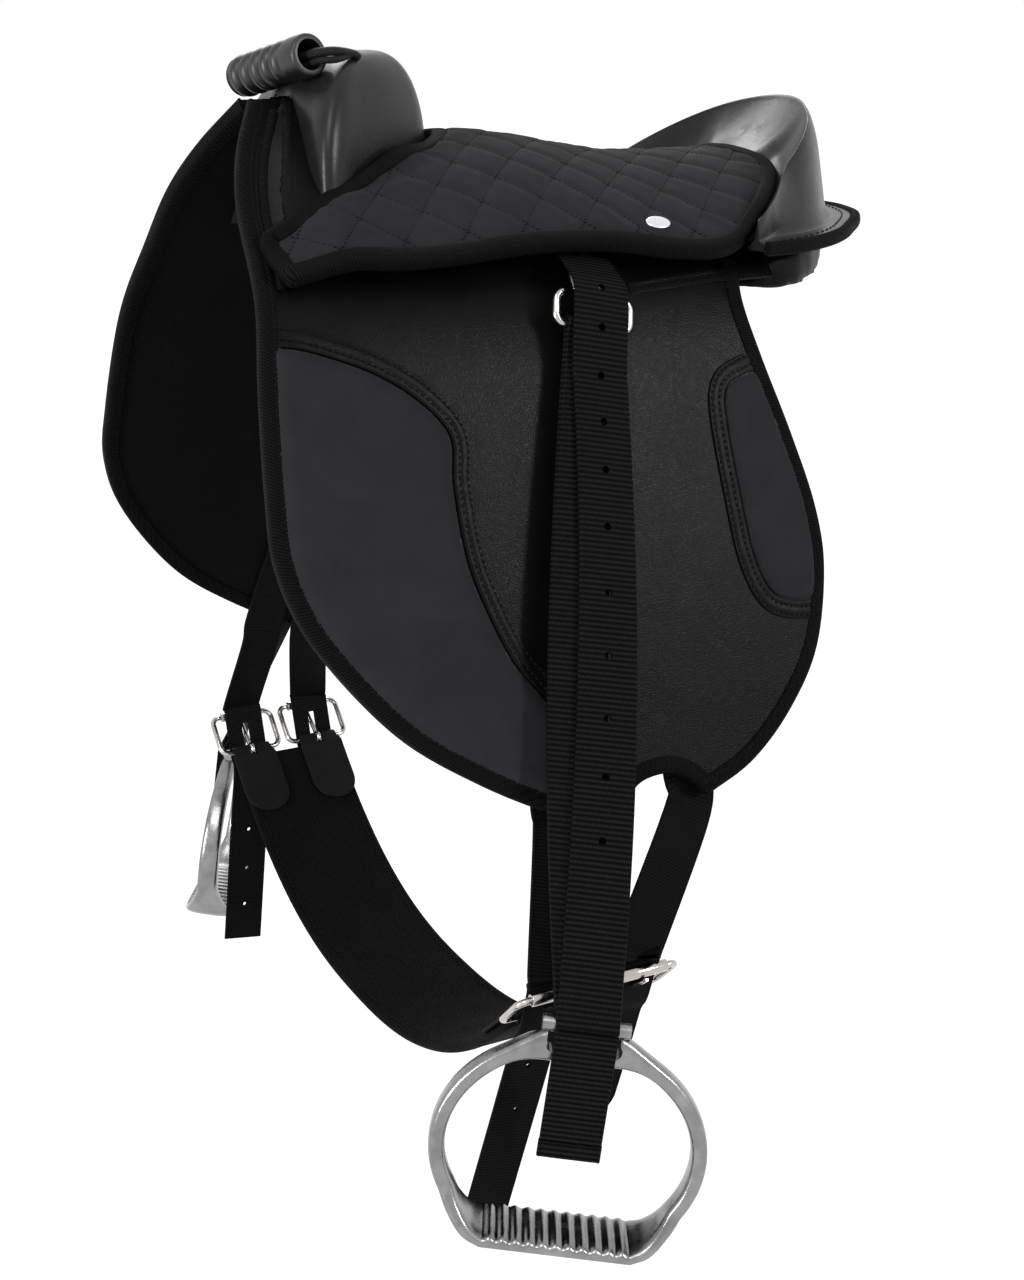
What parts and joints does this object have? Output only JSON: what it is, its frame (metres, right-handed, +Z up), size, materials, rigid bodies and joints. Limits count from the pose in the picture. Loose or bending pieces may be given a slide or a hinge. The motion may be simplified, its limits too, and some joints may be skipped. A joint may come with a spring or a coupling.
{
  "type": "pony saddle",
  "caption": "Pony saddle with moulded pommel and cantle, quilted seat, grab handle, webbing stirrup straps with metal irons, and a buckled girth.",
  "frame": {"origin": "on the middle plane, on the pony's back below the deepest part of the seat", "axes": "+X to the rear (the pommel is at -X), +Y to the off (right) side, +Z up"},
  "size_m": [0.4095, 0.5996, 0.5938],
  "materials": {
    "tree_plastic": "matte",
    "nickel": "polished",
    "moulded_leather": "semi-gloss",
    "leather": "satin",
    "suede": "matte",
    "binding_tape": "woven",
    "lining_cloth": "matte",
    "webbing": "ribbed",
    "cast_aluminium": "satin",
    "sleeve_rubber": "satin",
    "braided_cord": "braided",
    "blank_metal": "bright"
  },
  "bodies": {
    "saddle": {"tree": "tree_plastic", "head_plate": "nickel", "pommel": "moulded_leather", "cantle": "moulded_leather", "cantle_bead": "leather", "near_pommel_flange": "leather", "off_pommel_flange": "leather", "seat_pad": "suede", "seat_pad_binding": "binding_tape", "near_flap": "leather", "near_flap_lining": "lining_cloth", "near_flap_binding": "binding_tape", "near_neck_binding": "binding_tape", "near_front_insert": "suede", "near_rear_insert": "suede", "near_panel": "lining_cloth", "near_hanger": "nickel", "near_badge": "blank_metal", "near_front_billet": "webbing", "near_rear_billet": "webbing", "near_front_chape": "leather", "near_front_buckle_frame": "nickel", "near_rear_chape": "leather", "near_rear_buckle_frame": "nickel", "off_flap": "leather", "off_flap_lining": "lining_cloth", "off_flap_binding": "binding_tape", "off_neck_binding": "binding_tape", "off_front_insert": "suede", "off_rear_insert": "suede", "off_panel": "lining_cloth", "off_hanger": "nickel", "off_badge": "blank_metal", "off_front_billet": "webbing", "off_rear_billet": "webbing", "off_front_chape": "leather", "off_front_buckle_frame": "nickel", "off_rear_chape": "leather", "off_rear_buckle_frame": "nickel", "girth": "webbing"},
    "near_front_buckle_roller": {"near_front_buckle_roller": "nickel"},
    "near_front_buckle_tongue": {"near_front_buckle_tongue": "nickel"},
    "near_rear_buckle_roller": {"near_rear_buckle_roller": "nickel"},
    "near_rear_buckle_tongue": {"near_rear_buckle_tongue": "nickel"},
    "near_ring": {"near_strap_ring": "nickel"},
    "near_strap": {"near_stirrup_strap": "webbing", "near_strap_outer_ply": "webbing"},
    "near_iron": {"near_stirrup_iron": "cast_aluminium"},
    "near_tail": {"near_strap_tail": "webbing"},
    "off_front_buckle_roller": {"off_front_buckle_roller": "nickel"},
    "off_front_buckle_tongue": {"off_front_buckle_tongue": "nickel"},
    "off_rear_buckle_roller": {"off_rear_buckle_roller": "nickel"},
    "off_rear_buckle_tongue": {"off_rear_buckle_tongue": "nickel"},
    "off_ring": {"off_strap_ring": "nickel"},
    "off_strap": {"off_stirrup_strap": "webbing", "off_strap_outer_ply": "webbing"},
    "off_iron": {"off_stirrup_iron": "cast_aluminium"},
    "off_tail": {"off_strap_tail": "webbing"},
    "handle": {"handle_cord": "braided_cord"},
    "sleeve": {"handle_sleeve": "sleeve_rubber"}
  },
  "joints": [
    {"name": "near_front_buckle_roller_turn", "type": "hinge", "parent": "saddle", "child": "near_front_buckle_roller", "pos_m": [-0.114, -0.21915, -0.33133], "axis": [1, 0, 0], "continuous": true},
    {"name": "near_front_buckle_tongue_lift", "type": "hinge", "parent": "saddle", "child": "near_front_buckle_tongue", "pos_m": [-0.114, -0.19986, -0.35022], "axis": [1, 0, 0], "range_deg": [0, 15]},
    {"name": "near_rear_buckle_roller_turn", "type": "hinge", "parent": "saddle", "child": "near_rear_buckle_roller", "pos_m": [-0.066, -0.21915, -0.33133], "axis": [1, 0, 0], "continuous": true},
    {"name": "near_rear_buckle_tongue_lift", "type": "hinge", "parent": "saddle", "child": "near_rear_buckle_tongue", "pos_m": [-0.066, -0.19986, -0.35022], "axis": [1, 0, 0], "range_deg": [0, 15]},
    {"name": "near_ring_sway", "type": "hinge", "parent": "saddle", "child": "near_ring", "pos_m": [-0.036, -0.1115, -0.0231], "axis": [0, 0.9293, -0.3694], "range_deg": [0, 10]},
    {"name": "near_strap_swing", "type": "hinge", "parent": "near_ring", "child": "near_strap", "pos_m": [-0.03934, -0.11878, -0.03154], "axis": [-0.9779, 0.0771, 0.1941], "range_deg": [0, 45]},
    {"name": "near_iron_swing", "type": "hinge", "parent": "near_strap", "child": "near_iron", "pos_m": [-0.11, -0.241, -0.339], "axis": [-0.8702, 0.4738, 0.1349], "range_deg": [0, 45]},
    {"name": "near_tail_lift", "type": "hinge", "parent": "near_strap", "child": "near_tail", "pos_m": [-0.11381, -0.24809, -0.33871], "axis": [-0.8702, 0.4738, 0.1349], "range_deg": [0, 54]},
    {"name": "off_front_buckle_roller_turn", "type": "hinge", "parent": "saddle", "child": "off_front_buckle_roller", "pos_m": [-0.114, 0.21915, -0.33133], "axis": [1, 0, 0], "continuous": true},
    {"name": "off_front_buckle_tongue_lift", "type": "hinge", "parent": "saddle", "child": "off_front_buckle_tongue", "pos_m": [-0.114, 0.19986, -0.35022], "axis": [-1, 0, 0], "range_deg": [0, 15]},
    {"name": "off_rear_buckle_roller_turn", "type": "hinge", "parent": "saddle", "child": "off_rear_buckle_roller", "pos_m": [-0.066, 0.21915, -0.33133], "axis": [1, 0, 0], "continuous": true},
    {"name": "off_rear_buckle_tongue_lift", "type": "hinge", "parent": "saddle", "child": "off_rear_buckle_tongue", "pos_m": [-0.066, 0.19986, -0.35022], "axis": [-1, 0, 0], "range_deg": [0, 15]},
    {"name": "off_ring_sway", "type": "hinge", "parent": "saddle", "child": "off_ring", "pos_m": [-0.036, 0.1115, -0.0231], "axis": [0, 0.9217, 0.3879], "range_deg": [0, 10]},
    {"name": "off_strap_swing", "type": "hinge", "parent": "off_ring", "child": "off_strap", "pos_m": [-0.03883, 0.11911, -0.03152], "axis": [0.9842, 0.0686, -0.163], "range_deg": [0, 45]},
    {"name": "off_iron_swing", "type": "hinge", "parent": "off_strap", "child": "off_iron", "pos_m": [-0.105, 0.262, -0.371], "axis": [0.4897, 0.8686, -0.0759], "range_deg": [0, 45]},
    {"name": "off_tail_lift", "type": "hinge", "parent": "off_strap", "child": "off_tail", "pos_m": [-0.11195, 0.26599, -0.37023], "axis": [0.4897, 0.8686, -0.0759], "range_deg": [0, 54]},
    {"name": "handle_swing", "type": "hinge", "parent": "saddle", "child": "handle", "pos_m": [-0.121, 0, 0.095], "axis": [0, 1, 0], "range_deg": [0, 50]},
    {"name": "sleeve_turn", "type": "hinge", "parent": "handle", "child": "sleeve", "pos_m": [-0.155, 0, 0.091], "axis": [0.2303, -0.9563, 0.1802], "continuous": true}
  ],
  "couplings": [
    {"joint": "near_tail_lift", "follows": "near_iron_swing", "ratio": 1.2},
    {"joint": "off_tail_lift", "follows": "off_iron_swing", "ratio": 1.2}
  ]
}
